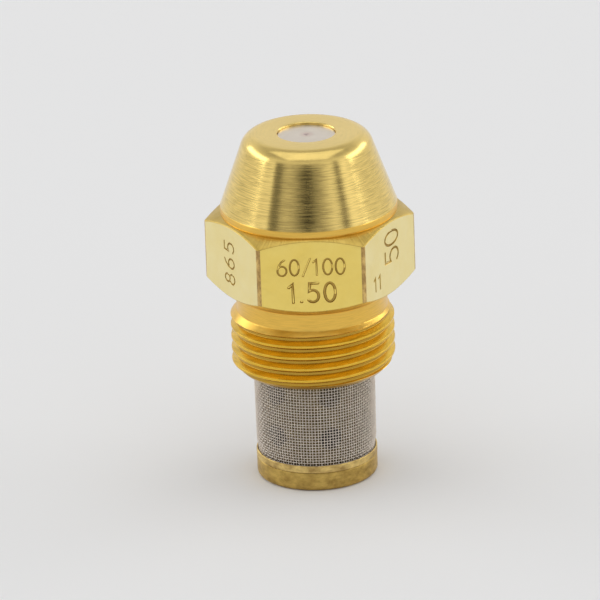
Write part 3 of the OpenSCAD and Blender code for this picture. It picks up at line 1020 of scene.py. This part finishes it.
def softbox(name, direction, distance, width, height, power):
    """A rectangular light at a direction (azimuth, elevation) from the nozzle."""
    azimuth, elevation = (math.radians(d) for d in direction)
    place = AXIS_POINT + distance * Vector((math.cos(elevation) * math.sin(azimuth),
                                            -math.cos(elevation) * math.cos(azimuth),
                                            math.sin(elevation)))
    light = bpy.data.lights.new(name, "AREA")
    light.shape, light.size, light.size_y = "RECTANGLE", width, height
    light.energy = power
    lamp = bpy.data.objects.new(name, light)
    lamp.matrix_world = Matrix.Translation(place) @ aimed(place, AXIS_POINT)
    bpy.context.scene.collection.objects.link(lamp)


# directions are measured from the camera's side of the nozzle, turning towards +X
softbox("left_softbox", (-106, 24), distance=1.2, width=1.3, height=0.35, power=2.6)
softbox("right_softbox", (106, 24), distance=1.2, width=1.3, height=0.35, power=2.4)
softbox("top_softbox", (0, 85), distance=1.6, width=1.9, height=1.9, power=7.9)

camera_data = bpy.data.cameras.new("camera")
camera_data.lens = LENS
camera_data.clip_start, camera_data.clip_end = 0.05, 20
camera = bpy.data.objects.new("camera", camera_data)
bpy.context.scene.collection.objects.link(camera)
eye = AXIS_POINT + CAMERA_DISTANCE * Vector((0, -math.cos(CAMERA_ELEVATION),
                                             math.sin(CAMERA_ELEVATION)))
camera.matrix_world = Matrix.Translation(eye) @ aimed(eye, AXIS_POINT, CAMERA_ROLL)
camera.location += (camera.matrix_world.to_3x3() @ Vector((AIM_RIGHT, AIM_UP, 0)))
bpy.context.scene.camera = camera

# brightness of the tent round the nozzle: its front opening, where the camera
# stands, is dark; directions in degrees from the camera, turning towards +X
TENT = [(-180, 1.15), (-90, 1.0), (-66, 1.16), (-58, 1.30), (-54, 0.24), (-46, 0.20),
        (-38, 0.66), (-30, 0.72), (-22, 0.55), (-12, 0.22), (-4, 0.02), (0, 0.02), (5, 0.12),
        (12, 0.34), (19, 0.50), (27, 0.84), (36, 1.20), (43, 1.0), (48, 0.30), (52, 0.30),
        (57, 1.30), (64, 1.50), (72, 1.25), (90, 1.0), (180, 1.15)]
TENT_PEAK = 1.8
ROOF = [(0.36, 1.18), (0.50, 1.10), (0.68, 0.80), (0.90, 0.50)]   # by the sine of elevation
ROOF_EDGE = (0.36, 0.48)      # sines of the elevations where the walls turn into the roof
TENT_STRENGTH = 0.71


def studio_world():
    world = bpy.data.worlds.new("studio")
    bpy.context.scene.world = world
    world.use_nodes = True
    tree = world.node_tree
    background = tree.nodes["Background"]

    def math_node(operation, a, b):
        node = tree.nodes.new("ShaderNodeMath")
        node.operation = operation
        for socket, value in zip(node.inputs, (a, b)):
            if isinstance(value, bpy.types.NodeSocket):
                tree.links.new(value, socket)
            else:
                socket.default_value = value
        return node.outputs[0]

    place = tree.nodes.new("ShaderNodeTexCoord")
    parts = tree.nodes.new("ShaderNodeSeparateXYZ")
    tree.links.new(place.outputs["Generated"], parts.inputs[0])
    x, y, z = parts.outputs

    def brightness(value, levels):
        """Colour ramp of the tent's brightness; levels are (position, level)."""
        node = tree.nodes.new("ShaderNodeValToRGB")
        tree.links.new(value, node.inputs[0])
        stops = node.color_ramp.elements
        while len(stops) < len(levels):
            stops.new(0.5)
        for stop, (position, level) in zip(stops, levels):
            stop.position = position
            stop.color = (*[level / TENT_PEAK] * 3, 1)
        return node.outputs[0]

    turn = math_node("ARCTAN2", x, math_node("MULTIPLY", y, -1))
    turn = math_node("ADD", math_node("DIVIDE", turn, 2 * math.pi), 0.5)
    walls = brightness(turn, [(degrees / 360 + 0.5, level) for degrees, level in TENT])
    rise = tree.nodes.new("ShaderNodeMapRange")
    rise.interpolation_type = "SMOOTHSTEP"
    tree.links.new(z, rise.inputs["Value"])
    rise.inputs["From Min"].default_value, rise.inputs["From Max"].default_value = ROOF_EDGE
    roof = tree.nodes.new("ShaderNodeMix")
    roof.data_type = "RGBA"
    tree.links.new(rise.outputs[0], roof.inputs["Factor"])
    tree.links.new(walls, roof.inputs[6])
    tree.links.new(brightness(z, ROOF), roof.inputs[7])
    tree.links.new(roof.outputs[2], background.inputs[0])
    background.inputs[1].default_value = TENT_STRENGTH * TENT_PEAK


studio_world()
bpy.context.scene.view_settings.view_transform = "Standard"
